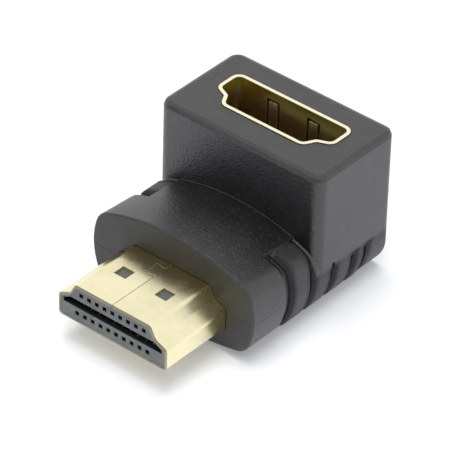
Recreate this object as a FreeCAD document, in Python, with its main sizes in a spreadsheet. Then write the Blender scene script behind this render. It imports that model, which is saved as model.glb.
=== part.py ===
"""Right angle adapter for a 19-way flat signal connector.

Millimetres. The origin is the centre of the male plug's section, in the plane of the shoulder
that stops it. The plug points along -Y with its wide side down. The receptacle opens along +Z
with its wide side at the back. X runs across both.
"""
import FreeCAD, Part
import math
import os
import Sketcher

os.makedirs("parts", exist_ok=True)
doc = FreeCAD.newDocument("right_angle_adapter")

SIZES = {
    # male plug shell, folded from sheet
    "plug_width": 13.9,
    "plug_height": 4.45,
    "plug_reach": 8.8,
    "plug_root": 4.2,
    "plug_sheet": 0.3,
    "plug_side": 2.55,
    "window_spacing": 5.2,
    "window_width": 1.5,
    "window_length": 1.45,
    "window_centre": 4.05,
    "plug_lip": 0.12,
    "seam_gap": 0.06,
    "seam_end": 0.6,
    "dovetail_front": 2.4,
    "dovetail_back": 1.05,
    "dovetail_reach": 1.15,
    "dovetail_flare": 0.2,
    # flat D outline that plug and receptacle share
    "shoulder_run": 1.45,
    "shoulder_angle": 24,
    "knee_angle": 62,
    "outline_corner": 0.55,
    "outline_knee": 0.6,
    # moulded insert of the plug and its contacts
    "moulding_gap": 0.03,
    "insert_setback": 0.04,
    "insert_root": 3.4,
    "slot_width": 12.6,
    "slot_floor": -0.4,
    "slot_roof": 0.56,
    "slot_depth": 6.3,
    "nose": 0.6,
    "contact_pitch": 1.0,
    "contact_width": 0.42,
    "contact_sheet": 0.2,
    "chamber_width": 0.52,
    "chamber_height": 0.52,
    "wide_row": -1.07,
    "narrow_row": 1.255,
    "contact_rise": 0.14,
    "pad_length": 1.6,
    "tip_gap": 0.1,
    "ramp_length": 1.4,
    "crest_length": 0.4,
    "tail_run": 0.2,
    # female receptacle
    "receptacle_centre": 15.7,
    "mating_gap": 0.1,
    "opening_side": 2.71,
    "receptacle_sheet": 0.4,
    "receptacle_rim": 12.1,
    "receptacle_foot": 1.1,
    "tongue_recess": 3.3,
    "tongue_width": 11.2,
    "tongue_thickness": 0.86,
    "tongue_offset": 0.08,
    "base_top": 3.3,
    "strip_sheet": 0.15,
    "strip_setback": 0.4,
    "strip_foot": 0.5,
    "peg_spacing": 11.6,
    "peg_size": 1.0,
    "finger_spacing": 5.1,
    "finger_width": 1.05,
    "finger_slit": 0.32,
    "finger_top": 0.95,
    "finger_length": 5.6,
    "leg_width": 1.1,
    "leg_spacing": 11.4,
    "leg_reach": 0.5,
    # circuit board
    "board_inset": 0.5,
    "board_front": 4.4,
    "board_back": 19.6,
    "board_thickness": 1.0,
    # hard inner mould
    "core_wall": 0.05,
    "core_front": 3.4,
    "core_back": 20.0,
    "core_floor": -3.0,
    "core_top": 2.7,
    # outer housing: block under the receptacle
    "block_width": 20.5,
    "block_front": 9.6,
    "block_back": 21.5,
    "block_top": 12.0,
    "block_corner": 1.2,
    "block_edge": 0.58,
    "shell_gap": 0.04,
    "cut_start": 0.5,
    # outer housing: head
    "crown": 24.0,
    "head_stand": 0.1,
    "head_level": 0.2,
    "head_side": 8.0,
    "head_top": 5.75,
    "head_fall": 5,
    "head_back": 4.9,
    "head_corner": 2.4,
    "head_heel": 2.1,
    "head_belly": -5.05,
    "head_belly_crown": 40.0,
    "head_lip": 0.2,
    "plateau_inset": 2.95,
    "plateau_overlap": 0.5,
    # outer housing: grip behind the head, ridges standing from groove floors
    "grip_inset": 0.03,
    "grip_level": -0.15,
    "grip_side": 7.2,
    "grip_top": 4.95,
    "grip_corner": 1.6,
    "grip_heel": 2.2,
    "grip_belly": -5.3,
    "grip_belly_crown": 120.0,
    "ridge_lip": 0.22,
    "ridge_round": 0.5,
    "ridge_end": 0.6,
    "groove_depth": 0.5,
    "groove_1": 6.05,
    "groove_2": 9.4,
    "groove_3": 12.6,
    "groove_4": 15.75,
    "groove_5": 17.8,
    "groove_3_rise": 0.75,
    "notch_length": 0.45,
    "notch_depth": 0.4,
    "notch_clear": 0.2,
    "tail_inset": 0.12,
    "rest_depth": 0.12,
}

sheet = doc.addObject("Spreadsheet::Sheet", "Sizes")
for row, (alias, number) in enumerate(SIZES.items(), start=1):
    sheet.set(f"A{row}", alias)
    sheet.set(f"B{row}", str(number))
    sheet.setAlias(f"B{row}", alias)
doc.recompute()

NEAR = 1e-4


def value(expression):
    """The number that an expression has with the sheet's cells as they are."""
    return float(sheet.evalExpression(expression))


def new_body(label):
    body = doc.addObject("PartDesign::Body", label)
    body.Label = label
    return body


def new_sketch(body, name, role, offset=None):
    """A sketch on one of the body's own origin planes, moved along the plane's normal."""
    drawing = body.newObject("Sketcher::SketchObject", name)
    plane = next(item for item in body.Origin.OriginFeatures if item.Role == role)
    drawing.AttachmentSupport = [(plane, "")]
    drawing.MapMode = "FlatFace"
    if offset:
        drawing.setExpression("AttachmentOffset.Base.z", offset)
    return drawing


def bind(drawing, kind, where, expression):
    """Add a constraint that an expression drives."""
    index = drawing.addConstraint(Sketcher.Constraint(kind, *where, value(expression)))
    drawing.setExpression(f"Constraints[{index}]", expression)


def draw_polygon(drawing, corners):
    """A closed outline whose corners are pairs of expressions."""
    first = drawing.GeometryCount
    count = len(corners)
    points = [FreeCAD.Vector(value(across), value(up), 0) for across, up in corners]
    for index in range(count):
        drawing.addGeometry(Part.LineSegment(points[index], points[(index + 1) % count]))
    for index, (across, up) in enumerate(corners):
        following = first + (index + 1) % count
        drawing.addConstraint(Sketcher.Constraint("Coincident", first + index, 2, following, 1))
        bind(drawing, "DistanceX", (first + index, 1), across)
        bind(drawing, "DistanceY", (first + index, 1), up)


def draw_box(drawing, left, right, low, high):
    draw_polygon(drawing, [(left, low), (right, low), (right, high), (left, high)])


def pad(body, name, drawing, length, reverse=False):
    feature = body.newObject("PartDesign::Pad", name)
    feature.Profile = drawing
    feature.setExpression("Length", length)
    feature.Reversed = reverse
    doc.recompute()
    return feature


def pocket(body, name, drawing, length=None, reverse=False):
    """Cut the drawing's outline, to a depth or right through both ways."""
    before = body.Shape.Volume
    feature = body.newObject("PartDesign::Pocket", name)
    feature.Profile = drawing
    if length is None:
        feature.Type = "ThroughAll"
        feature.SideType = "Two sides"
        feature.Type2 = "ThroughAll"
    else:
        feature.setExpression("Length", length)
        feature.Reversed = reverse
    doc.recompute()
    if body.Shape.Volume > before - 1e-6:
        raise RuntimeError(f"{body.Label}: {name} cut nothing")
    return feature


def spread(body, name, feature, count, pitch, axis="H_Axis"):
    """Repeat a feature along its sketch's own axis."""
    pattern = body.newObject("PartDesign::LinearPattern", name)
    pattern.Originals = [feature]
    pattern.Direction = (feature.Profile[0], [axis])
    pattern.Occurrences = count
    pattern.setExpression("Length", f"{count - 1} * {pitch}")
    body.Tip = pattern
    doc.recompute()
    return pattern


def corner_edges(feature, drawing, corners):
    """Names of the straight edges that leave the given corners of a drawn outline."""
    places = [drawing.Placement.multVec(drawing.Geometry[index].StartPoint) for index in corners]
    normal = drawing.Placement.Rotation.multVec(FreeCAD.Vector(0, 0, 1))
    names = []
    for number, edge in enumerate(feature.Shape.Edges, start=1):
        if not isinstance(edge.Curve, Part.Line):
            continue
        start, end = edge.Vertexes[0].Point, edge.Vertexes[-1].Point
        if (end - start).normalize().cross(normal).Length > NEAR:
            continue
        if any((start - place).cross(normal).Length < NEAR for place in places):
            names.append(f"Edge{number}")
    return names


def fillet(body, name, base, edges, radius):
    feature = body.newObject("PartDesign::Fillet", name)
    feature.Base = (base, edges)
    feature.setExpression("Radius", radius)
    doc.recompute()
    return feature


def chamfer(body, name, base, edges, width):
    feature = body.newObject("PartDesign::Chamfer", name)
    feature.Base = (base, edges)
    feature.setExpression("Size", width)
    doc.recompute()
    return feature


def outline_corners(width, height, side, offset):
    """The flat D's eight corners about its centre, moved outwards by an offset."""
    alpha, beta = "Sizes.shoulder_angle * 1deg", "Sizes.knee_angle * 1deg"
    foot = f"-({height}) / 2 - ({offset})"
    side_x = f"({width}) / 2 + ({offset})"
    side_up = f"({side}) - ({height}) / 2"
    side_z = f"{side_up} + ({offset}) * cos({alpha}) / (1 + sin({alpha}))"
    knee_up = f"{side_up} + Sizes.shoulder_run * tan({alpha})"
    bisector = f"({offset}) / (1 + cos({beta} - {alpha}))"
    knee_x = f"({width}) / 2 - Sizes.shoulder_run + {bisector} * (sin({alpha}) + sin({beta}))"
    knee_z = f"{knee_up} + {bisector} * (cos({alpha}) + cos({beta}))"
    top_x = (f"({width}) / 2 - Sizes.shoulder_run - (({height}) / 2 - ({knee_up})) / tan({beta})"
             f" + ({offset}) * tan({beta} / 2)")
    top_z = f"({height}) / 2 + ({offset})"
    right = [(side_x, foot), (side_x, side_z), (knee_x, knee_z), (top_x, top_z)]
    left = [(f"-({across})", up) for across, up in reversed(right)]
    return right + left


CONVEX = (0, 1, 3, 4, 6, 7)
CONCAVE = (2, 5)


def plug_outline(drawing, offset):
    draw_polygon(drawing, outline_corners("Sizes.plug_width", "Sizes.plug_height", "Sizes.plug_side",
                                          offset))


OPENING_WIDTH = "Sizes.plug_width + 2 * Sizes.mating_gap"
OPENING_HEIGHT = "Sizes.plug_height + 2 * Sizes.mating_gap"

# the core wraps the receptacle shell closely and the board lies inside it
CORE_HALF = f"({OPENING_WIDTH}) / 2 + Sizes.receptacle_sheet + Sizes.core_wall"
BOARD_HALF = f"{CORE_HALF} - Sizes.board_inset"
# head, grip and plateau keep their places beside the block's two sides
HALF_WIDTH = {
    "head": "Sizes.block_width / 2 + Sizes.head_stand",
    "grip": "Sizes.block_width / 2 - Sizes.grip_inset",
}
PLATEAU_HALF = "Sizes.block_width / 2 - Sizes.plateau_inset"


def receptacle_outline(drawing, offset):
    """The opening's outline, with its wide side at the back."""
    corners = outline_corners(OPENING_WIDTH, OPENING_HEIGHT, "Sizes.opening_side", offset)
    draw_polygon(drawing, [(across, f"Sizes.receptacle_centre - ({up})") for across, up in corners])


def edges_where(feature, test):
    return [f"Edge{number}" for number, edge in enumerate(feature.Shape.Edges, start=1) if test(edge)]


def round_outline(body, name, feature, drawing, offset):
    """Round the eight long edges that an outline's corners made."""
    first = fillet(body, f"{name}_corners", feature, corner_edges(feature, drawing, CONVEX),
                   f"Sizes.outline_corner + ({offset})")
    return fillet(body, f"{name}_knees", first, corner_edges(first, drawing, CONCAVE),
                  f"Sizes.outline_knee - ({offset})")


WIDE_COUNT = 10
NARROW_COUNT = 9
ROWS = (("wide", WIDE_COUNT, "Sizes.wide_row"), ("narrow", NARROW_COUNT, "Sizes.narrow_row"))
FIRST = {"wide": "-4.5 * Sizes.contact_pitch", "narrow": "-4 * Sizes.contact_pitch"}


def make_plug_shell():
    body = new_body("plug_shell")
    outside = new_sketch(body, "shell_outside", "XZ_Plane", "-Sizes.plug_root")
    plug_outline(outside, "0")
    tube = pad(body, "shell_length", outside, "Sizes.plug_reach + Sizes.plug_root")
    rounded = round_outline(body, "shell_outside", tube, outside, "0")
    mouth = -value("Sizes.plug_reach")
    lip = edges_where(rounded, lambda edge: edge.BoundBox.YMax < mouth + NEAR)
    chamfer(body, "shell_lip", rounded, lip, "Sizes.plug_lip")
    inside = new_sketch(body, "shell_inside", "XZ_Plane", "-Sizes.plug_root")
    plug_outline(inside, "-Sizes.plug_sheet")
    hollow = pocket(body, "shell_hollow", inside)
    round_outline(body, "shell_inside", hollow, inside, "-Sizes.plug_sheet")
    windows = new_sketch(body, "window_outline", "XY_Plane")
    for side in ("-", "+"):
        middle = f"{side}Sizes.window_spacing / 2"
        draw_box(windows, f"{middle} - Sizes.window_width / 2", f"{middle} + Sizes.window_width / 2",
                 "-Sizes.window_centre - Sizes.window_length / 2",
                 "-Sizes.window_centre + Sizes.window_length / 2")
    pocket(body, "windows", windows)

    # the sheet's two edges meet along the top and lock with a dovetail
    seam = new_sketch(body, "seam_outline", "XY_Plane")
    front, end = "-Sizes.plug_reach - Sizes.seam_gap", "Sizes.seam_end"
    gap, reach, flare = "Sizes.seam_gap", "Sizes.dovetail_reach", "Sizes.dovetail_flare"
    near, far = "-Sizes.dovetail_front", "-Sizes.dovetail_back"
    draw_polygon(seam, [
        ("0", front), ("0", near), (f"-{reach}", f"{near} - {flare}"),
        (f"-{reach}", f"{far} + {flare}"), ("0", far), ("0", end),
        (f"-{gap}", end), (f"-{gap}", f"{far} + {gap}"),
        (f"-{reach} - {gap}", f"{far} + {flare} + {gap}"),
        (f"-{reach} - {gap}", f"{near} - {flare} - {gap}"),
        (f"-{gap}", f"{near} - {gap}"), (f"-{gap}", front)])
    pocket(body, "seam", seam, "Sizes.plug_height", reverse=True)
    return body


def make_plug_insert():
    body = new_body("plug_insulator")
    gap = "-Sizes.plug_sheet - Sizes.moulding_gap"
    section = new_sketch(body, "insert_section", "XZ_Plane", "-Sizes.insert_root")
    plug_outline(section, gap)
    block = pad(body, "insert_block", section,
                "Sizes.insert_root + Sizes.plug_reach - Sizes.insert_setback")
    round_outline(body, "insert", block, section, gap)
    front = "Sizes.plug_reach - Sizes.insert_setback"
    slot = new_sketch(body, "slot_section", "XZ_Plane", front)
    chamfer = "(Sizes.slot_roof - Sizes.slot_floor) / 2"
    half = "Sizes.slot_width / 2"
    draw_polygon(slot, [(f"-{half}", "Sizes.slot_floor"), (half, "Sizes.slot_floor"),
                        (half, f"Sizes.slot_roof - {chamfer}"),
                        (f"{half} - 2 * {chamfer}", "Sizes.slot_roof"),
                        (f"-{half} + 2 * {chamfer}", "Sizes.slot_roof"),
                        (f"-{half}", f"Sizes.slot_roof - {chamfer}")])
    pocket(body, "mating_slot", slot, "Sizes.slot_depth")
    half_hole = "Sizes.chamber_width / 2"
    for row, count, level in ROWS:
        start = FIRST[row]
        mouth = new_sketch(body, f"{row}_hole_section", "XZ_Plane", front)
        draw_box(mouth, f"{start} - {half_hole}", f"{start} + {half_hole}",
                 f"{level} - Sizes.chamber_height / 2", f"{level} + Sizes.chamber_height / 2")
        hole = pocket(body, f"{row}_hole", mouth, "Sizes.nose")
        spread(body, f"{row}_holes", hole, count, "Sizes.contact_pitch")
        inner, outer = {
            "wide": (f"{level} - Sizes.chamber_height / 2", "Sizes.slot_floor"),
            "narrow": ("Sizes.slot_roof", f"{level} + Sizes.chamber_height / 2"),
        }[row]
        deep = new_sketch(body, f"{row}_chamber_section", "XZ_Plane", f"{front} - Sizes.nose")
        draw_box(deep, f"{start} - {half_hole}", f"{start} + {half_hole}", inner, outer)
        chamber = pocket(body, f"{row}_chamber", deep, "Sizes.slot_depth - Sizes.nose")
        spread(body, f"{row}_chambers", chamber, count, "Sizes.contact_pitch")
        through = new_sketch(body, f"{row}_passage_section", "XZ_Plane", "-Sizes.insert_root")
        draw_box(through, f"{start} - Sizes.contact_width / 2", f"{start} + Sizes.contact_width / 2",
                 f"{level} - Sizes.contact_sheet / 2", f"{level} + Sizes.contact_sheet / 2")
        passage = pocket(body, f"{row}_passage", through,
                         f"Sizes.insert_root + {front} - Sizes.slot_depth", reverse=True)
        spread(body, f"{row}_passages", passage, count, "Sizes.contact_pitch")
    return body


def make_plug_contact(number):
    """A sprung strip: tip behind the nose, wiping bump in the slot, tail on the board."""
    body = new_body(f"plug_contact_{number:02d}")
    wide = number % 2 == 1
    level = "Sizes.wide_row" if wide else "Sizes.narrow_row"
    side = "-" if wide else "+"
    face = "Sizes.slot_floor" if wide else "Sizes.slot_roof"
    crest = f"{face} {'+' if wide else '-'} Sizes.contact_rise {side} Sizes.contact_sheet / 2"
    tail = f"{side}(Sizes.board_thickness + Sizes.contact_sheet) / 2"
    front = "-Sizes.plug_reach + Sizes.insert_setback + Sizes.nose"
    root = "-Sizes.plug_reach + Sizes.insert_setback + Sizes.slot_depth"
    stations = [
        (f"{front} + Sizes.tip_gap", level),
        (f"{front} + Sizes.tip_gap + Sizes.ramp_length", crest),
        (f"{front} + Sizes.tip_gap + Sizes.ramp_length + Sizes.crest_length", crest),
        (root, level),
        ("Sizes.insert_root + Sizes.tail_run", level),
        ("Sizes.board_front", tail),
        ("Sizes.board_front + Sizes.pad_length", tail),
    ]
    profile = new_sketch(body, f"strip_{number:02d}", "YZ_Plane",
                         f"{number - 10} * Sizes.contact_pitch / 2")
    upper = [(along, f"{up} + Sizes.contact_sheet / 2") for along, up in stations]
    lower = [(along, f"{up} - Sizes.contact_sheet / 2") for along, up in reversed(stations)]
    draw_polygon(profile, lower + upper)
    strip = pad(body, f"strip_width_{number:02d}", profile, "Sizes.contact_width")
    strip.SideType = "Symmetric"
    doc.recompute()
    return body


def make_receptacle_shell():
    body = new_body("receptacle_shell")
    outside = new_sketch(body, "can_outside", "XY_Plane", "Sizes.receptacle_foot")
    receptacle_outline(outside, "Sizes.receptacle_sheet")
    can = pad(body, "can_height", outside, "Sizes.receptacle_rim - Sizes.receptacle_foot")
    round_outline(body, "can_outside", can, outside, "Sizes.receptacle_sheet + Sizes.mating_gap")
    inside = new_sketch(body, "can_inside", "XY_Plane", "Sizes.receptacle_foot")
    receptacle_outline(inside, "0")
    hollow = pocket(body, "can_hollow", inside)
    round_outline(body, "can_inside", hollow, inside, "Sizes.mating_gap")
    slits = new_sketch(body, "finger_slits", "XZ_Plane")
    top = "Sizes.receptacle_rim - Sizes.finger_top"
    low = f"{top} - Sizes.finger_length"
    half = "Sizes.finger_width / 2"
    for side in ("-", "+"):
        middle = f"{side}Sizes.finger_spacing / 2"
        outer_left = f"{middle} - {half} - Sizes.finger_slit"
        outer_right = f"{middle} + {half} + Sizes.finger_slit"
        draw_polygon(slits, [
            (outer_left, low), (f"{middle} - {half}", low),
            (f"{middle} - {half}", f"{top} - Sizes.finger_slit"),
            (f"{middle} + {half}", f"{top} - Sizes.finger_slit"),
            (f"{middle} + {half}", low), (outer_right, low),
            (outer_right, top), (outer_left, top)])
    pocket(body, "finger_slit_cut", slits)
    legs = new_sketch(body, "leg_outline", "XY_Plane", "Sizes.receptacle_foot")
    back = f"Sizes.receptacle_centre + ({OPENING_HEIGHT}) / 2"
    for side in ("-", "+"):
        middle = f"{side}Sizes.leg_spacing / 2"
        draw_box(legs, f"{middle} - Sizes.leg_width / 2", f"{middle} + Sizes.leg_width / 2",
                 back, f"{back} + Sizes.receptacle_sheet")
    pad(body, "legs", legs,
        "Sizes.receptacle_foot + Sizes.board_thickness / 2 + Sizes.leg_reach", reverse=True)
    return body


TONGUE_Y = "Sizes.receptacle_centre - Sizes.tongue_offset"
STRIP_TIP = "Sizes.receptacle_rim - Sizes.tongue_recess - Sizes.strip_setback"
BOARD_TOP = "Sizes.board_thickness / 2"


def make_receptacle_insert():
    body = new_body("receptacle_insulator")
    base = new_sketch(body, "base_section", "XY_Plane", "Sizes.receptacle_foot")
    receptacle_outline(base, "0")
    block = pad(body, "base_block", base, "Sizes.base_top - Sizes.receptacle_foot")
    round_outline(body, "base", block, base, "Sizes.mating_gap")
    blade = new_sketch(body, "tongue_section", "XY_Plane", "Sizes.base_top")
    thin = "Sizes.tongue_thickness / 2"
    draw_box(blade, "-Sizes.tongue_width / 2", "Sizes.tongue_width / 2",
             f"{TONGUE_Y} - {thin}", f"{TONGUE_Y} + {thin}")
    pad(body, "tongue", blade, "Sizes.receptacle_rim - Sizes.tongue_recess - Sizes.base_top")
    feet = new_sketch(body, "feet_section", "XY_Plane", "Sizes.receptacle_foot")
    for side in ("-", "+"):
        middle = f"{side}Sizes.peg_spacing / 2"
        draw_box(feet, f"{middle} - Sizes.peg_size / 2", f"{middle} + Sizes.peg_size / 2",
                 f"{TONGUE_Y} - Sizes.peg_size / 2", f"{TONGUE_Y} + Sizes.peg_size / 2")
    pad(body, "feet", feet, f"Sizes.receptacle_foot - {BOARD_TOP}", reverse=True)
    reach = "Sizes.contact_width / 2"
    for row, count, _ in ROWS:
        start = FIRST[row]
        side = 1 if row == "wide" else -1
        face = f"{TONGUE_Y} + {side} * {thin}"
        under = f"{TONGUE_Y} + {side} * ({thin} - Sizes.strip_sheet)"
        low, high = (under, face) if side > 0 else (face, under)
        groove = new_sketch(body, f"{row}_groove_section", "XY_Plane", "Sizes.receptacle_foot")
        draw_box(groove, f"{start} - {reach}", f"{start} + {reach}", low, high)
        cut = pocket(body, f"{row}_groove", groove, f"{STRIP_TIP} - Sizes.receptacle_foot",
                     reverse=True)
        spread(body, f"{row}_grooves", cut, count, "Sizes.contact_pitch")
    return body


def make_receptacle_contact(number):
    """A flat strip let into the tongue's face, bent out to a pad on the board."""
    body = new_body(f"receptacle_contact_{number:02d}")
    side = 1 if number % 2 == 1 else -1
    face = f"{TONGUE_Y} + {side} * Sizes.tongue_thickness / 2"
    under = f"{TONGUE_Y} + {side} * (Sizes.tongue_thickness / 2 - Sizes.strip_sheet)"
    out = (f"Sizes.receptacle_centre + {side} * (({OPENING_HEIGHT}) / 2 + Sizes.receptacle_sheet"
           " + Sizes.strip_foot)")
    tip = STRIP_TIP
    sole = BOARD_TOP
    top = f"{BOARD_TOP} + Sizes.strip_sheet"
    profile = new_sketch(body, f"blade_{number:02d}", "YZ_Plane",
                         f"{number - 10} * Sizes.contact_pitch / 2")
    draw_polygon(profile, [(under, tip), (under, sole), (out, sole), (out, top), (face, top),
                           (face, tip)])
    strip = pad(body, f"blade_width_{number:02d}", profile, "Sizes.contact_width")
    strip.SideType = "Symmetric"
    doc.recompute()
    return body


def make_board():
    body = new_body("circuit_board")
    plan = new_sketch(body, "board_plan", "XY_Plane", f"-{BOARD_TOP}")
    draw_box(plan, f"-({BOARD_HALF})", BOARD_HALF, "Sizes.board_front", "Sizes.board_back")
    pad(body, "board_sheet", plan, "Sizes.board_thickness")
    slots = new_sketch(body, "leg_slots", "XY_Plane")
    back = f"Sizes.receptacle_centre + ({OPENING_HEIGHT}) / 2"
    for side in ("-", "+"):
        middle = f"{side}Sizes.leg_spacing / 2"
        draw_box(slots, f"{middle} - Sizes.leg_width / 2", f"{middle} + Sizes.leg_width / 2",
                 back, f"{back} + Sizes.receptacle_sheet")
    pocket(body, "leg_slot_cut", slots)
    return body


def corner_centre(crown_centre, crown_reach, side_centre, side_reach):
    """Where a corner arc's centre lies, at given distances from its two neighbours' centres."""
    gap = side_centre - crown_centre
    along = (crown_reach ** 2 - side_reach ** 2 + gap.Length ** 2) / (2 * gap.Length)
    across = math.sqrt(crown_reach ** 2 - along ** 2)
    gap.normalize()
    square = FreeCAD.Vector(-gap.y, gap.x, 0)
    foot = crown_centre + gap * along
    return max(foot + square * across, foot - square * across, key=lambda point: point.x)


def lens_section(body, name, along, form, crest, inset="0"):
    """A closed section of head or grip: crowned top and underside, bulged sides, round corners."""
    drawing = new_sketch(body, name, "XZ_Plane", f"-({along})")
    crown, belly_crown = f"Sizes.crown - ({inset})", f"Sizes.{form}_belly_crown - ({inset})"
    side, corner, heel = [f"Sizes.{form}_{part} - ({inset})" for part in ("side", "corner", "heel")]
    upper_z = f"{crest} - Sizes.crown"
    lower_z = f"Sizes.{form}_belly + Sizes.{form}_belly_crown"
    side_x, side_z = f"{HALF_WIDTH[form]} - Sizes.{form}_side", f"Sizes.{form}_level"
    upper = FreeCAD.Vector(0, value(upper_z), 0)
    lower = FreeCAD.Vector(0, value(lower_z), 0)
    flank = FreeCAD.Vector(value(side_x), value(side_z), 0)
    top = corner_centre(upper, value(crown) - value(corner), flank, value(side) - value(corner))
    low = corner_centre(lower, value(belly_crown) - value(heel), flank, value(side) - value(heel))

    def turn(start, end):
        return math.atan2(end.y - start.y, end.x - start.x)

    # anticlockwise from the middle of the underside; the left half mirrors the right
    right = [
        (low, heel, turn(lower, low), turn(flank, low)),
        (flank, side, turn(flank, low), 0),
        (flank, side, 0, turn(flank, top)),
        (top, corner, turn(flank, top), turn(upper, top)),
    ]
    left = [(FreeCAD.Vector(-centre.x, centre.y, 0), radius, math.pi - end, math.pi - start)
            for centre, radius, start, end in reversed(right)]
    under, over = right[0][2], right[-1][3]
    arcs = [(lower, belly_crown, -math.pi - under, under)] + right
    arcs += [(upper, crown, over, math.pi - over)] + left
    normal = FreeCAD.Vector(0, 0, 1)
    for centre, radius, start, end in arcs:
        drawing.addGeometry(Part.ArcOfCircle(Part.Circle(centre, normal, value(radius)), start, end))
    count = len(arcs)
    for index in range(count):
        drawing.addConstraint(Sketcher.Constraint("Tangent", index, 2, (index + 1) % count, 1))
        bind(drawing, "Radius", (index,), arcs[index][1])
    belly_arc, flank_arc, crest_arc, far_flank_arc = 0, 2, 5, 8
    for index, level in ((belly_arc, lower_z), (crest_arc, upper_z)):
        drawing.addConstraint(Sketcher.Constraint("PointOnObject", index, 3, -2))
        bind(drawing, "DistanceY", (index, 3), level)
    for index, across, level_end in ((flank_arc, side_x, 2), (far_flank_arc, f"-({side_x})", 1)):
        bind(drawing, "DistanceX", (index, 3), across)
        bind(drawing, "DistanceY", (index, 3), side_z)
        bind(drawing, "DistanceY", (index, level_end), side_z)
    return drawing


def plateau_section(body, name, along, crest):
    """The raised middle behind the head: a flat arc on a rectangle."""
    drawing = new_sketch(body, name, "XZ_Plane", f"-({along})")
    half, crown = value(PLATEAU_HALF), value("Sizes.crown")
    centre = FreeCAD.Vector(0, value(crest) - crown, 0)
    edge_z = centre.y + math.sqrt(crown ** 2 - half ** 2)
    turn = math.asin(half / crown)
    circle = Part.Circle(centre, FreeCAD.Vector(0, 0, 1), crown)
    drawing.addGeometry(Part.ArcOfCircle(circle, math.pi / 2 - turn, math.pi / 2 + turn))
    corners = [FreeCAD.Vector(-half, edge_z, 0), FreeCAD.Vector(-half, 0, 0),
               FreeCAD.Vector(half, 0, 0), FreeCAD.Vector(half, edge_z, 0)]
    for start, end in zip(corners, corners[1:]):
        drawing.addGeometry(Part.LineSegment(start, end))
    for index in range(4):
        following = (index + 1) % 4
        drawing.addConstraint(Sketcher.Constraint("Coincident", index, 2, following, 1))
    drawing.addConstraint(Sketcher.Constraint("PointOnObject", 0, 3, -2))
    drawing.addConstraint(Sketcher.Constraint("Vertical", 1))
    drawing.addConstraint(Sketcher.Constraint("Vertical", 3))
    bind(drawing, "DistanceY", (0, 3), f"{crest} - Sizes.crown")
    bind(drawing, "Radius", (0,), "Sizes.crown")
    bind(drawing, "DistanceX", (1, 2), f"-({PLATEAU_HALF})")
    bind(drawing, "DistanceX", (3, 1), PLATEAU_HALF)
    bind(drawing, "DistanceY", (1, 2), "0")
    bind(drawing, "DistanceY", (3, 1), "0")
    return drawing


def loft(body, name, first, last):
    feature = body.newObject("PartDesign::AdditiveLoft", name)
    feature.Profile = first
    feature.Sections = [last]
    feature.Ruled = True
    doc.recompute()
    return feature


def draw_round_box(drawing, half, low, high, radius):
    """A box about the vertical axis whose four corners are arcs."""
    across = f"{half} - ({radius})"
    inner_low, inner_high = f"{low} + ({radius})", f"{high} - ({radius})"
    places = [(across, inner_high), (f"-({across})", inner_high),
              (f"-({across})", inner_low), (across, inner_low)]
    normal = FreeCAD.Vector(0, 0, 1)
    quarter = math.pi / 2
    arcs = []
    for index, (right, up) in enumerate(places):
        centre = FreeCAD.Vector(value(right), value(up), 0)
        arc = Part.ArcOfCircle(Part.Circle(centre, normal, value(radius)), index * quarter,
                               (index + 1) * quarter)
        arcs.append(arc)
    for index, arc in enumerate(arcs):
        drawing.addGeometry(arc)
        drawing.addGeometry(Part.LineSegment(arc.EndPoint, arcs[(index + 1) % 4].StartPoint))
    for index, (right, up) in enumerate(places):
        arc, line, following = 2 * index, 2 * index + 1, (2 * index + 2) % 8
        drawing.addConstraint(Sketcher.Constraint("Tangent", arc, 2, line, 1))
        drawing.addConstraint(Sketcher.Constraint("Tangent", line, 2, following, 1))
        bind(drawing, "Radius", (arc,), radius)
        bind(drawing, "DistanceX", (arc, 3), right)
        bind(drawing, "DistanceY", (arc, 3), up)


def block_section(body, name, level, inset):
    """The block's plan at a level, drawn in by an inset all round."""
    drawing = new_sketch(body, name, "XY_Plane", level)
    draw_round_box(drawing, f"Sizes.block_width / 2 - ({inset})", f"Sizes.block_front + ({inset})",
                   f"Sizes.block_back - ({inset})", f"Sizes.block_corner - ({inset})")
    return drawing


BRIM_STRIPS = 2
RIDGE_COUNT = 4


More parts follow.
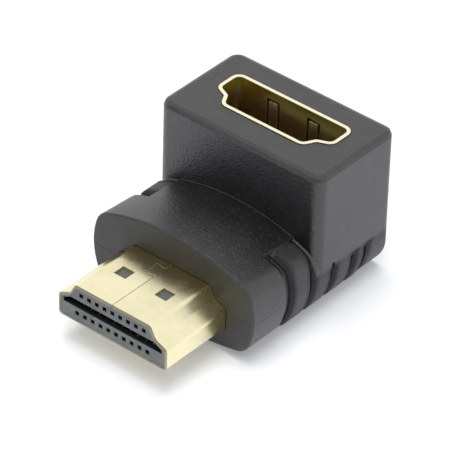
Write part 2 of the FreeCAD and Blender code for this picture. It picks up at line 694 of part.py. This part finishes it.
def make_housing():
    body = new_body("housing")
    plan = block_section(body, "block_plan", "0", "0")
    pad(body, "block", plan, "Sizes.block_top - Sizes.block_edge")
    below = block_section(body, "brim_0", "Sizes.block_top - Sizes.block_edge", "0")
    for step in range(1, BRIM_STRIPS + 1):
        turn = f"{90 * step / BRIM_STRIPS} * 1deg"
        level = f"Sizes.block_top - Sizes.block_edge * (1 - sin({turn}))"
        above = block_section(body, f"brim_{step}", level, f"Sizes.block_edge * (1 - cos({turn}))")
        loft(body, f"block_brim_{step}", below, above)
        below = above

    def crest(along):
        """The head's highest line falls from the plug towards the block."""
        return f"Sizes.head_top - ({along}) * tan(Sizes.head_fall * 1deg)"

    def head(name, along, inset="0"):
        return lens_section(body, name, along, "head", crest(along), inset)

    def grip(name, along, inset):
        return lens_section(body, name, along, "grip", "Sizes.grip_top", inset)

    face = head("head_face", "0", "Sizes.head_lip")
    front = head("head_front", "Sizes.head_lip")
    rear = head("head_rear", "Sizes.head_back")
    floor = grip("groove_floor_1", "Sizes.groove_1", "Sizes.groove_depth")
    loft(body, "head_lip", face, front)
    loft(body, "head", front, rear)
    loft(body, "head_round", rear, floor)
    for number in range(1, RIDGE_COUNT + 1):
        start, end = f"Sizes.groove_{number}", f"Sizes.groove_{number + 1}"
        lip = grip(f"ridge_lip_{number}", start, "Sizes.ridge_lip")
        back = grip(f"ridge_back_{number}", f"{end} - Sizes.ridge_end", "0")
        top = grip(f"ridge_top_{number}", f"{start} + Sizes.ridge_round", "0")
        floor = grip(f"groove_floor_{number + 1}", end, "Sizes.groove_depth")
        loft(body, f"ridge_round_{number}", lip, top)
        pad(body, f"ridge_{number}", top, f"{end} - Sizes.ridge_end - {start} - Sizes.ridge_round",
            reverse=True)
        loft(body, f"ridge_end_{number}", back, floor)
    last = f"Sizes.groove_{RIDGE_COUNT + 1}"
    tail = grip("tail_section", last, "Sizes.tail_inset")
    pad(body, "tail", tail, f"Sizes.block_back - {last}", reverse=True)

    inside = "Sizes.head_back - Sizes.plateau_overlap"
    outside = "Sizes.block_front + Sizes.plateau_overlap"
    start = plateau_section(body, "plateau_front", inside, crest(inside))
    end = plateau_section(body, "plateau_rear", outside, crest(outside))
    loft(body, "plateau", start, end)

    # a shallow flat along the underside, on which the adapter lies
    rest = new_sketch(body, "rest_plan", "XY_Plane", "Sizes.grip_belly + Sizes.rest_depth")
    draw_box(rest, f"-({HALF_WIDTH['grip']})", HALF_WIDTH["grip"], "0", "Sizes.block_back")
    pocket(body, "rest_flat", rest, "Sizes.rest_depth")

    # back corners of the underside, rounded in plan like the block above
    heel = new_sketch(body, "heel_plan", "XY_Plane")
    radius, half = value("Sizes.block_corner"), value("Sizes.block_width / 2")
    back, clear = value("Sizes.block_back"), value("Sizes.cut_start")
    for mark in (1, -1):
        first = heel.GeometryCount
        centre = FreeCAD.Vector(mark * (half - radius), back - radius, 0)
        circle = Part.Circle(centre, FreeCAD.Vector(0, 0, 1), radius)
        span = (0, math.pi / 2) if mark > 0 else (math.pi / 2, math.pi)
        side_end, back_end = (1, 2) if mark > 0 else (2, 1)
        heel.addGeometry(Part.ArcOfCircle(circle, *span))
        path = [FreeCAD.Vector(mark * half, back - radius, 0),
                FreeCAD.Vector(mark * (half + clear), back - radius, 0),
                FreeCAD.Vector(mark * (half + clear), back + clear, 0),
                FreeCAD.Vector(mark * (half - radius), back + clear, 0),
                FreeCAD.Vector(mark * (half - radius), back, 0)]
        for here, there in zip(path, path[1:]):
            heel.addGeometry(Part.LineSegment(here, there))
        joints = [(first + 1, 1, first, side_end), (first + 4, 2, first, back_end)]
        joints += [(line, 2, line + 1, 1) for line in range(first + 1, first + 4)]
        for joint in joints:
            heel.addConstraint(Sketcher.Constraint("Coincident", *joint))
        for line, direction in enumerate(("Horizontal", "Vertical", "Horizontal", "Vertical"), 1):
            heel.addConstraint(Sketcher.Constraint(direction, first + line))
        sign = "" if mark > 0 else "-"
        across = f"{sign}(Sizes.block_width / 2 - Sizes.block_corner)"
        along = "Sizes.block_back - Sizes.block_corner"
        bind(heel, "Radius", (first,), "Sizes.block_corner")
        bind(heel, "DistanceX", (first, 3), across)
        bind(heel, "DistanceY", (first, 3), along)
        bind(heel, "DistanceY", (first, side_end), along)
        bind(heel, "DistanceX", (first, back_end), across)
        bind(heel, "DistanceX", (first + 2, 1), f"{sign}(Sizes.block_width / 2 + Sizes.cut_start)")
        bind(heel, "DistanceY", (first + 2, 2), "Sizes.block_back + Sizes.cut_start")
    pocket(body, "heel_corners", heel)

    # the third groove runs on above the parting line
    notch = new_sketch(body, "notch_plan", "XY_Plane")
    front = "Sizes.groove_3 - Sizes.notch_length"
    for mark in ("", "-"):
        clear = f"{mark}(Sizes.block_width / 2 + Sizes.notch_clear)"
        draw_polygon(notch, [(clear, front), (clear, "Sizes.groove_3"),
                             (f"{mark}(Sizes.block_width / 2 - Sizes.notch_depth)", "Sizes.groove_3"),
                             (f"{mark}Sizes.block_width / 2", front)])
    pocket(body, "notch", notch, "Sizes.groove_3_rise", reverse=True)

    # room for the inner mould and the two shells
    room = new_sketch(body, "core_plan", "XY_Plane", "Sizes.core_floor")
    draw_box(room, f"-({CORE_HALF})", CORE_HALF, "Sizes.core_front", "Sizes.core_back")
    pocket(body, "core_room", room, "Sizes.core_top - Sizes.core_floor", reverse=True)
    bore = new_sketch(body, "plug_bore_section", "XZ_Plane", "Sizes.cut_start")
    plug_outline(bore, "Sizes.shell_gap")
    cut = pocket(body, "plug_bore", bore, "Sizes.core_front + 2 * Sizes.cut_start")
    cut = round_outline(body, "plug_bore", cut, bore, "Sizes.shell_gap")
    well = new_sketch(body, "receptacle_well_plan", "XY_Plane", "Sizes.block_top + Sizes.cut_start")
    receptacle_outline(well, "Sizes.receptacle_sheet + Sizes.shell_gap")
    cut = pocket(body, "receptacle_well", well,
                 "Sizes.block_top - Sizes.core_top + 2 * Sizes.cut_start")
    round_outline(body, "well", cut, well,
                  "Sizes.receptacle_sheet + Sizes.mating_gap + Sizes.shell_gap")
    return body


def make_core(others):
    """The hard mould that holds board, tails and the roots of both shells together."""
    block = doc.addObject("Part::Box", "core_block")
    block.setExpression("Length", f"2 * ({CORE_HALF})")
    block.setExpression("Width", "Sizes.core_back - Sizes.core_front")
    block.setExpression("Height", "Sizes.core_top - Sizes.core_floor")
    block.setExpression("Placement.Base.x", f"-({CORE_HALF})")
    block.setExpression("Placement.Base.y", "Sizes.core_front")
    block.setExpression("Placement.Base.z", "Sizes.core_floor")
    held = doc.addObject("Part::Compound", "core_contents")
    held.Links = others
    core = doc.addObject("Part::Cut", "inner_mould")
    core.Label = "inner_mould"
    core.Base = block
    core.Tool = held
    doc.recompute()
    return core


made = [make_plug_shell(), make_plug_insert()]
made += [make_plug_contact(number) for number in range(1, 20)]
made += [make_receptacle_shell(), make_receptacle_insert()]
made += [make_receptacle_contact(number) for number in range(1, 20)]
made += [make_board()]
made += [make_core(list(made)), make_housing()]
doc.recompute()
for item in doc.Objects:
    if "Invalid" in item.State or "Error" in item.State:
        raise RuntimeError(f"{item.Label} did not compute")
for piece in made:
    if piece.Shape.isNull() or not piece.Shape.isValid() or len(piece.Shape.Solids) != 1:
        raise RuntimeError(f"{piece.Label} is not one valid solid")
for piece in made:
    piece.Shape.exportStep(f"parts/{piece.Label}.step")
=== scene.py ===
"""Finishes for the right angle adapter, a black moulded grip with gilt shells, in a white tent."""

import math

import bpy
from mathutils import Matrix, Vector


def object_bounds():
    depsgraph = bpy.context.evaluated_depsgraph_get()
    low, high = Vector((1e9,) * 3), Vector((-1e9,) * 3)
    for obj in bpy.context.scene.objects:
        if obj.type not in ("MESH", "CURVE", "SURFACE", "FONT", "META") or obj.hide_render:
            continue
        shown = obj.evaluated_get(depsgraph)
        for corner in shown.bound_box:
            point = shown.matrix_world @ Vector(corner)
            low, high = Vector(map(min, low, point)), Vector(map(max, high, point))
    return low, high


MM = 0.001

# the photograph's viewpoint: angles in degrees, sensor and lens in millimetres
VIEW_AZIMUTH = 39.195
VIEW_ELEVATION = 36.568
VIEW_ROLL = 1.77
VIEW_DISTANCE = 404.65 * MM
VIEW_TARGET = Vector((-3.666, 12.426, -1.663)) * MM
SENSOR = 36.0
LENS = 323.72

# where a finish changes: start and end along one axis, in millimetres
HEAD_FACE = (0.1, 0.3)
GRIP_SIDES = (7.2, 7.8)
GRIP_START = (5.2, 5.8)
GRIP_STEP = (9.2, 9.8)
GROOVE_REACH = (0.2, 1.1)
PARTING_REACH = (0.02, 0.09)
PLUG_CUT_EDGE = (-8.7, -8.55)
PLUG_ROOT = (-3.6, -0.4)
MOUTH_WALLS = (10.2, 11.4)
MOUTH_RIM = (11.98, 12.06)
SPRING_SIDES = (0.38, 0.5)
SPRING_TIP_START = (9.9, 10.9)
SPRING_TIP_END = (11.1, 11.2)
INSERT_FRONT = (-8.74, -8.62)
INSERT_TOP = (1.5, 1.6)

# heights of the housing's parting line and of the grip in front of and under the block, in millimetres
PARTING_HEIGHT = -0.05
WAIST_GRIP_TOP = 4.2
BLOCK_GRIP_TOP = 0.6
GRIP_FADE = 0.4

# distance of the receptacle's springs from the middle, in millimetres
SPRING_CENTRE = 2.55

# places of the five grip grooves behind the housing's front face, in millimetres
GROOVE_CENTRES = (6.05, 9.4, 12.6, 15.75, 17.8)

# share of the floor's brightness that shadows don't take away, to the eye and in reflections
FLOOR_GLOW = 0.22
MIRRORED_FLOOR_GLOW = 0.36
FLOOR_HALF = 0.6

# strength of the tent as a lamp, and of its front as a mirror shows it
TENT_LAMP = 0.38
TENT_FRONT = 0.5

# what the lamps look at
LAMP_TARGET = Vector((0, 8, 2)) * MM

# each lamp's azimuth and elevation in degrees, distance and side in metres, watts, and reflection
LAMPS = {
    "top_box": (25, 86, 0.6, 0.34, 2.35, False),
    "glint_box": (32, 57, 0.5, 0.12, 0.3, True),
    "front_box": (60, 50, 0.6, 0.3, 0.45, False),
    "overhead_box": (219, 70, 0.6, 0.35, 0.9, False),
}

# sockets of a colour Mix node
MIX_FIRST = 6
MIX_SECOND = 7
MIX_RESULT = 2


def rgb(red, green, blue):
    return (red, green, blue, 1.0)


WHITE = rgb(1.0, 1.0, 1.0)
TENT_SHADE = rgb(0.85, 0.90, 1.0)
PAPER = rgb(0.925, 0.93, 0.943)


class Shader:
    """Short spellings for building a node tree."""

    def __init__(self, tree):
        self.tree = tree

    def node(self, kind, **settings):
        made = self.tree.nodes.new(kind)
        for name, value in settings.items():
            setattr(made, name, value)
        return made

    def link(self, source, target):
        self.tree.links.new(source, target)

    def feed(self, target, value):
        """Join a socket to a socket, or set it to a plain value."""
        if isinstance(value, bpy.types.NodeSocket):
            self.link(value, target)
        else:
            target.default_value = value

    def effect(self, group, **values):
        """Place a named effect; underscores stand for the spaces in its inputs' names."""
        made = self.node("ShaderNodeGroup", node_tree=group)
        for label, value in values.items():
            self.feed(made.inputs[label.replace("_", " ")], value)
        return made.outputs

    def place(self):
        """The point on the adapter, in metres."""
        return self.node("ShaderNodeTexCoord").outputs["Object"]

    def facing(self):
        """The way that the surface faces."""
        return self.node("ShaderNodeNewGeometry").outputs["Normal"]

    def axes(self, vector):
        """The X, Y and Z of a vector."""
        made = self.node("ShaderNodeSeparateXYZ")
        self.link(vector, made.inputs[0])
        return made.outputs

    def reckon(self, operation, *values):
        made = self.node("ShaderNodeMath", operation=operation)
        for socket, value in zip(made.inputs, values):
            self.feed(socket, value)
        return made.outputs[0]

    def plus(self, first, second):
        return self.reckon("ADD", first, second)

    def minus(self, first, second):
        return self.reckon("SUBTRACT", first, second)

    def times(self, first, second):
        return self.reckon("MULTIPLY", first, second)

    def larger(self, first, second):
        return self.reckon("MAXIMUM", first, second)

    def distance(self, value, centre):
        """How far a coordinate is from a place given in millimetres."""
        return self.reckon("ABSOLUTE", self.minus(value, centre * MM))

    def spread(self, value, low, high, to_low=0.0, to_high=1.0):
        made = self.node("ShaderNodeMapRange", clamp=True)
        self.feed(made.inputs["Value"], value)
        self.feed(made.inputs["From Min"], low)
        self.feed(made.inputs["From Max"], high)
        self.feed(made.inputs["To Min"], to_low)
        self.feed(made.inputs["To Max"], to_high)
        return made.outputs["Result"]

    def rising(self, value, band):
        """Zero before a band given in millimetres, and one past it."""
        return self.spread(value, band[0] * MM, band[1] * MM)

    def falling(self, value, band):
        """One before a band given in millimetres, and zero past it."""
        return self.spread(value, band[0] * MM, band[1] * MM, 1.0, 0.0)

    def noise(self, vector, scale, detail, roughness):
        made = self.node("ShaderNodeTexNoise")
        self.link(vector, made.inputs["Vector"])
        self.feed(made.inputs["Scale"], scale)
        made.inputs["Detail"].default_value = detail
        made.inputs["Roughness"].default_value = roughness
        return made.outputs["Fac"]

    def blend(self, factor, first, second):
        made = self.node("ShaderNodeMix", data_type="RGBA")
        self.feed(made.inputs["Factor"], factor)
        self.feed(made.inputs[MIX_FIRST], first)
        self.feed(made.inputs[MIX_SECOND], second)
        return made.outputs[MIX_RESULT]

    def softened(self, radius):
        """The surface's normal with its sharp edges rounded."""
        made = self.node("ShaderNodeBevel", samples=6)
        self.feed(made.inputs["Radius"], radius)
        return made.outputs["Normal"]

    def bumped(self, height, strength, depth, round_radius):
        """A bump over softened edges; depth and radius are in millimetres."""
        bump = self.node("ShaderNodeBump")
        bump.inputs["Strength"].default_value = strength
        bump.inputs["Distance"].default_value = depth * MM
        self.link(height, bump.inputs["Height"])
        self.link(self.softened(round_radius * MM), bump.inputs["Normal"])
        return bump.outputs["Normal"]


def effect_group(name, numbers, results):
    """A named effect with number inputs and number outputs."""
    tree = bpy.data.node_groups.new(name, "ShaderNodeTree")
    for label, default in numbers:
        socket = tree.interface.new_socket(label, in_out="INPUT", socket_type="NodeSocketFloat")
        socket.default_value = default
    for label in results:
        tree.interface.new_socket(label, in_out="OUTPUT", socket_type="NodeSocketFloat")
    shader = Shader(tree)
    given = shader.node("NodeGroupInput").outputs
    result = shader.node("NodeGroupOutput").inputs
    return tree, shader, given, result


def moulded_grain():
    """Fine spark-eroded mould texture with slow waves under it."""
    numbers = [("Grain per metre", 5200.0), ("Wave per metre", 420.0), ("Wave share", 0.35)]
    tree, shader, given, result = effect_group("moulded_grain", numbers, ["Height", "Patches"])
    place = shader.place()
    grain = shader.noise(place, given["Grain per metre"], 3.0, 0.62)
    waves = shader.noise(place, given["Wave per metre"], 2.0, 0.5)
    shader.link(shader.plus(grain, shader.times(waves, given["Wave share"])), result["Height"])
    shader.link(shader.spread(waves, 0.35, 0.65), result["Patches"])
    return tree


def handling_marks():
    """Faint smears and specks that handling leaves on plated or moulded faces."""
    numbers = [("Smear per metre", 260.0), ("Speck per metre", 2600.0)]
    tree, shader, given, result = effect_group("handling_marks", numbers, ["Smears", "Specks"])
    place = shader.place()
    smear = shader.noise(place, given["Smear per metre"], 4.0, 0.6)
    speck = shader.noise(place, given["Speck per metre"], 1.0, 0.4)
    shader.link(shader.spread(smear, 0.42, 0.72), result["Smears"])
    shader.link(shader.spread(speck, 0.60, 0.68), result["Specks"])
    return tree


def edge_mask():
    """Where a face turns sharply: one on an edge, zero on a flat."""
    numbers = [("Width", 0.12 * MM), ("Sharpness", 6.0)]
    tree, shader, given, result = effect_group("edge_mask", numbers, ["Edge"])
    turn = shader.node("ShaderNodeVectorMath", operation="DOT_PRODUCT")
    shader.link(shader.softened(given["Width"]), turn.inputs[0])
    shader.link(shader.facing(), turn.inputs[1])
    lost = shader.minus(1.0, turn.outputs["Value"])
    shader.link(shader.times(lost, given["Sharpness"]), result["Edge"])
    return tree


GRAIN = moulded_grain()
MARKS = handling_marks()
EDGE = edge_mask()


def new_material(name):
    """A material, its node shorthand and the inputs of its surface."""
    material = bpy.data.materials.new(name)
    material.use_nodes = True
    surface = material.node_tree.nodes["Principled BSDF"].inputs
    return material, Shader(material.node_tree), surface


def grip_and_grooves(shader, axes):
    """The flanks that carry the grip, and its five grooves."""
    aside = shader.rising(shader.distance(axes["X"], 0.0), GRIP_SIDES)
    behind = shader.rising(axes["Y"], GRIP_START)
    top = shader.spread(axes["Y"], GRIP_STEP[0] * MM, GRIP_STEP[1] * MM,
                        WAIST_GRIP_TOP * MM, BLOCK_GRIP_TOP * MM)
    below = shader.falling(shader.minus(axes["Z"], top), (-GRIP_FADE, 0.0))
    grip = shader.times(shader.times(aside, behind), below)
    grooves = 0.0
    for centre in GROOVE_CENTRES:
        near = shader.falling(shader.distance(axes["Y"], centre), GROOVE_REACH)
        grooves = shader.larger(near, grooves)
    return grip, shader.times(grooves, grip)


def housing_plastic():
    """Soft black over-moulding: fine grain, a parting line, rubbed edges, matt grip and head face."""
    material, shader, surface = new_material("housing_plastic")
    grain = shader.effect(GRAIN, Grain_per_metre=4300.0)
    marks = shader.effect(MARKS, Smear_per_metre=180.0, Speck_per_metre=2100.0)
    edge = shader.effect(EDGE, Width=0.22 * MM, Sharpness=5.0)["Edge"]
    axes = shader.axes(shader.place())
    grip, grooves = grip_and_grooves(shader, axes)

    rubbed = rgb(0.05, 0.05, 0.05)
    tone = shader.blend(grain["Patches"], rgb(0.0045, 0.0045, 0.0048), rgb(0.0070, 0.0070, 0.0073))
    tone = shader.blend(shader.times(marks["Specks"], 0.22), tone, rubbed)
    tone = shader.blend(shader.times(edge, 0.2), tone, rubbed)
    shader.link(tone, surface["Base Color"])

    rough = shader.spread(marks["Smears"], 0.0, 1.0, 0.36, 0.29)
    rough = shader.plus(rough, shader.times(grip, 0.20))
    rough = shader.plus(rough, shader.times(grooves, 0.5))
    rough = shader.plus(rough, shader.times(shader.falling(axes["Y"], HEAD_FACE), 0.2))
    shader.link(rough, surface["Roughness"])
    surface["Specular IOR Level"].default_value = 0.95

    parting = shader.falling(shader.distance(axes["Z"], PARTING_HEIGHT), PARTING_REACH)
    relief = shader.minus(grain["Height"], shader.times(parting, 1.2))
    shader.link(shader.bumped(relief, 0.85, 0.07, 0.12), surface["Normal"])
    return material


def plug_bare_edge_and_painted_root(shader, tone):
    """The shell's cut front edge is bare olive metal, and its root has a painted reflection: deeper,
    browner gold where the dark housing would be mirrored.
    """
    length = shader.axes(shader.place())["Y"]
    forwards = shader.spread(shader.axes(shader.facing())["Y"], -0.75, -0.5, 1.0, 0.0)
    cut_edge = shader.times(forwards, shader.falling(length, PLUG_CUT_EDGE))
    # painted reflection: the gold deepens towards the housing
    tone = shader.blend(shader.rising(length, PLUG_ROOT), tone, rgb(0.80, 0.65, 0.29))
    return shader.blend(cut_edge, tone, rgb(0.26, 0.25, 0.18))


def mouth_painted_light(shader, tone):
    """Painted light and shade in the mouth: a painted highlight on the rim between painted dark edges,
    painted shade on the walls deeper down, and painted glints on the spring tips.
    """
    axes = shader.axes(shader.place())
    height = axes["Z"]
    aside = shader.distance(shader.distance(axes["X"], 0.0), SPRING_CENTRE)
    painted_tip_glint = shader.times(shader.falling(aside, SPRING_SIDES), shader.rising(height, SPRING_TIP_START))
    painted_tip_glint = shader.times(painted_tip_glint, shader.falling(height, SPRING_TIP_END))
    edge = shader.effect(EDGE, Width=0.12 * MM, Sharpness=4.0)["Edge"]
    # painted shade: the walls below the mouth are darker and browner
    tone = shader.blend(shader.falling(height, MOUTH_WALLS), tone, rgb(0.78, 0.61, 0.32))
    # painted highlight: glints on the spring tips
    tone = shader.blend(painted_tip_glint, tone, rgb(1.0, 0.92, 0.62))
    # painted highlight on the rim, with painted dark lines along its edges
    painted_rim_highlight = shader.blend(edge, rgb(1.0, 0.965, 0.75), rgb(0.55, 0.46, 0.22))
    return shader.blend(shader.rising(height, MOUTH_RIM), tone, painted_rim_highlight)


def gold_plating(name, colour, smeared, polished, dull, wear_and_painted_light=None):
    """Gold flash over nickel: a soft mirror with smears, a painted highlight on its edges, and whatever
    wear and painted light the caller adds.
    """
    material, shader, surface = new_material(name)
    smears = shader.effect(MARKS, Smear_per_metre=320.0)["Smears"]
    edge = shader.effect(EDGE, Width=0.08 * MM, Sharpness=5.0)["Edge"]
    grain = shader.effect(GRAIN, Grain_per_metre=9000.0, Wave_per_metre=500.0, Wave_share=1.2)

    tone = shader.blend(shader.times(smears, 0.5), colour, smeared)
    # painted highlight: edges paler and lighter
    tone = shader.blend(shader.times(edge, 0.4), tone, rgb(0.97, 0.93, 0.76))
    if wear_and_painted_light:
        tone = wear_and_painted_light(shader, tone)
    shader.link(tone, surface["Base Color"])
    surface["Metallic"].default_value = 1.0

    rough = shader.spread(smears, 0.0, 1.0, polished, dull)
    shader.link(shader.plus(rough, shader.times(edge, 0.3)), surface["Roughness"])
    shader.link(shader.bumped(grain["Height"], 0.12, 0.02, 0.06), surface["Normal"])
    return material


def insert_plastic():
    """Glass-filled insert: grey front with painted highlights on its edges, and painted shade in its
    holes and on its top under the windows.
    """
    material, shader, surface = new_material("insert_plastic")
    grain = shader.effect(GRAIN, Grain_per_metre=7000.0, Wave_per_metre=900.0, Wave_share=0.3)
    edge = shader.effect(EDGE, Width=0.05 * MM, Sharpness=5.0)["Edge"]
    axes = shader.axes(shader.place())
    upwards = shader.spread(shader.axes(shader.facing())["Z"], 0.6, 0.8)
    painted_window_shade = shader.times(upwards, shader.rising(axes["Z"], INSERT_TOP))

    tone = shader.blend(grain["Patches"], rgb(0.118, 0.126, 0.122), rgb(0.165, 0.174, 0.168))
    # painted highlight: lighter edges
    tone = shader.blend(shader.times(edge, 0.3), tone, rgb(0.5, 0.5, 0.5))
    # painted shade: all behind the front face, in the holes and the slot, is near black
    tone = shader.blend(shader.rising(axes["Y"], INSERT_FRONT), tone, rgb(0.022, 0.023, 0.023))
    # painted shade on the upward faces seen through the shell's windows
    tone = shader.blend(painted_window_shade, tone, rgb(0.085, 0.09, 0.085))
    shader.link(tone, surface["Base Color"])
    shader.link(shader.spread(grain["Patches"], 0.0, 1.0, 0.42, 0.55), surface["Roughness"])
    shader.link(shader.bumped(grain["Height"], 0.3, 0.012, 0.03), surface["Normal"])
    return material


def board_laminate():
    """Green solder mask with the weave of the laminate showing faintly."""
    material, shader, surface = new_material("board_laminate")
    marks = shader.effect(MARKS, Smear_per_metre=400.0, Speck_per_metre=3000.0)
    weave = shader.node("ShaderNodeTexChecker")
    shader.link(shader.place(), weave.inputs["Vector"])
    weave.inputs["Scale"].default_value = 1600.0

    woven = shader.times(weave.outputs["Fac"], 0.35)
    tone = shader.blend(woven, rgb(0.02, 0.14, 0.06), rgb(0.03, 0.20, 0.09))
    tone = shader.blend(shader.times(marks["Specks"], 0.4), tone, rgb(0.2, 0.3, 0.2))
    shader.link(tone, surface["Base Color"])
    shader.link(shader.spread(marks["Smears"], 0.0, 1.0, 0.28, 0.4), surface["Roughness"])
    return material


def inner_plastic():
    """Pale inner shot: waxy, with flow patches."""
    material, shader, surface = new_material("inner_plastic")
    grain = shader.effect(GRAIN, Grain_per_metre=3000.0, Wave_per_metre=260.0, Wave_share=0.8)
    tone = shader.blend(grain["Patches"], rgb(0.55, 0.53, 0.48), rgb(0.64, 0.62, 0.57))
    shader.link(tone, surface["Base Color"])
    shader.link(shader.spread(grain["Patches"], 0.0, 1.0, 0.4, 0.55), surface["Roughness"])
    shader.link(shader.bumped(grain["Height"], 0.3, 0.03, 0.1), surface["Normal"])
    return material


def white_paper():
    """Matt white paper that is a little brighter than its shadows let it be."""
    material, shader, surface = new_material("white_paper")
    surface["Base Color"].default_value = PAPER
    surface["Roughness"].default_value = 0.9
    surface["Specular IOR Level"].default_value = 0.1
    path = shader.node("ShaderNodeLightPath").outputs
    watched = shader.times(path["Is Camera Ray"], FLOOR_GLOW)
    mirrored = shader.times(path["Is Glossy Ray"], MIRRORED_FLOOR_GLOW)
    nodes = material.node_tree.nodes
    mixed = shader.node("ShaderNodeMixShader")
    shader.link(shader.larger(watched, mirrored), mixed.inputs[0])
    shader.link(nodes["Principled BSDF"].outputs[0], mixed.inputs[1])
    shader.link(shader.node("ShaderNodeEmission").outputs[0], mixed.inputs[2])
    shader.link(mixed.outputs[0], nodes["Material Output"].inputs["Surface"])
    return material


def white_floor(height):
    """A white sheet that keeps the adapter's shadow."""
    mesh = bpy.data.meshes.new("floor")
    turns = [(-1, -1), (1, -1), (1, 1), (-1, 1)]
    corners = [(x * FLOOR_HALF, y * FLOOR_HALF, height) for x, y in turns]
    mesh.from_pydata(corners, [], [(0, 1, 2, 3)])
    mesh.materials.append(white_paper())
    floor = bpy.data.objects.new("floor", mesh)
    bpy.context.scene.collection.objects.link(floor)


def tent_light():
    """White surroundings: full white to the eye and to mirrors, softer and cooler as a lamp."""
    world = bpy.data.worlds.new("tent")
    bpy.context.scene.world = world
    world.use_nodes = True
    shader = Shader(world.node_tree)
    backdrop = world.node_tree.nodes["Background"].inputs
    path = shader.node("ShaderNodeLightPath").outputs
    outwards = shader.node("ShaderNodeTexCoord").outputs["Generated"]
    front_to_back = shader.spread(shader.axes(outwards)["Y"], -0.95, -0.1, TENT_FRONT, 1.0)
    seen = shader.larger(path["Is Camera Ray"], shader.times(path["Is Glossy Ray"], front_to_back))
    seen = shader.larger(seen, path["Is Transmission Ray"])
    shader.link(shader.blend(seen, TENT_SHADE, WHITE), backdrop["Color"])
    shader.link(shader.larger(seen, TENT_LAMP), backdrop["Strength"])


def direction(azimuth, elevation):
    """A unit vector; azimuth 0 is in front of the plug, and 90 at the right."""
    turn = math.radians(azimuth)
    lift = math.radians(elevation)
    return Vector((math.sin(turn) * math.cos(lift), -math.cos(turn) * math.cos(lift), math.sin(lift)))


def soft_box(name, azimuth, elevation, distance, side, watts, mirrored):
    """A square lamp that looks at the adapter, with or without a reflection of its own."""
    lamp = bpy.data.lights.new(name, "AREA")
    lamp.shape = "SQUARE"
    lamp.size = side
    lamp.energy = watts
    holder = bpy.data.objects.new(name, lamp)
    away = direction(azimuth, elevation)
    holder.location = LAMP_TARGET + away * distance
    holder.rotation_euler = away.to_track_quat("Z", "Y").to_euler()
    holder.visible_glossy = mirrored
    bpy.context.scene.collection.objects.link(holder)


def photo_camera():
    """The photograph's camera, turned a little about its own axis."""
    back = direction(VIEW_AZIMUTH, VIEW_ELEVATION)
    level = direction(VIEW_AZIMUTH + 90, 0)
    upright = back.cross(level)
    roll = math.radians(VIEW_ROLL)
    right = level * math.cos(roll) + upright * math.sin(roll)
    top = upright * math.cos(roll) - level * math.sin(roll)
    data = bpy.data.cameras.new("photo_camera")
    data.sensor_width = SENSOR
    data.lens = LENS
    data.clip_start = 0.01
    data.clip_end = 10.0
    camera = bpy.data.objects.new("photo_camera", data)
    frame_axes = Matrix((right, top, back)).transposed().to_4x4()
    camera.matrix_world = Matrix.Translation(VIEW_TARGET + back * VIEW_DISTANCE) @ frame_axes
    bpy.context.scene.collection.objects.link(camera)
    bpy.context.scene.camera = camera


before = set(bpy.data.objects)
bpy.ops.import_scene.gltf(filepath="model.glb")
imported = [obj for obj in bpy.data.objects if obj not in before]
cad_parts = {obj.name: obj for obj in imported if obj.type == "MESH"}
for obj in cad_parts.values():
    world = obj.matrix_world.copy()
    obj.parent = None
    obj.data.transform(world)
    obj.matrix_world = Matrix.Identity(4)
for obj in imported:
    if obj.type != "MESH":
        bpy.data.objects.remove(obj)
cad_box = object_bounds()

FINISHES = {
    "housing": housing_plastic(),
    "plug_shell": gold_plating("plug_gold", rgb(0.95, 0.88, 0.60), rgb(0.86, 0.79, 0.47),
                               0.22, 0.34, plug_bare_edge_and_painted_root),
    "receptacle_shell": gold_plating("receptacle_gold", rgb(1.0, 0.85, 0.22), rgb(0.74, 0.60, 0.16),
                                     0.28, 0.42, mouth_painted_light),
    "contact": gold_plating("contact_gold", rgb(0.98, 0.90, 0.66), rgb(0.92, 0.80, 0.50), 0.40, 0.55),
    "insulator": insert_plastic(),
    "circuit_board": board_laminate(),
    "inner_mould": inner_plastic(),
}


def finish_for(node):
    """The finish of a node by its name, shared by all contacts and by both inserts."""
    if node in FINISHES:
        return FINISHES[node]
    return FINISHES["contact" if "contact" in node else "insulator"]


for node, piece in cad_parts.items():
    piece.data.materials.clear()
    piece.data.materials.append(finish_for(node))

white_floor(cad_box[0][2])
tent_light()
for lamp_name, settings in LAMPS.items():
    soft_box(lamp_name, *settings)
photo_camera()
bpy.context.scene.view_settings.view_transform = "Standard"
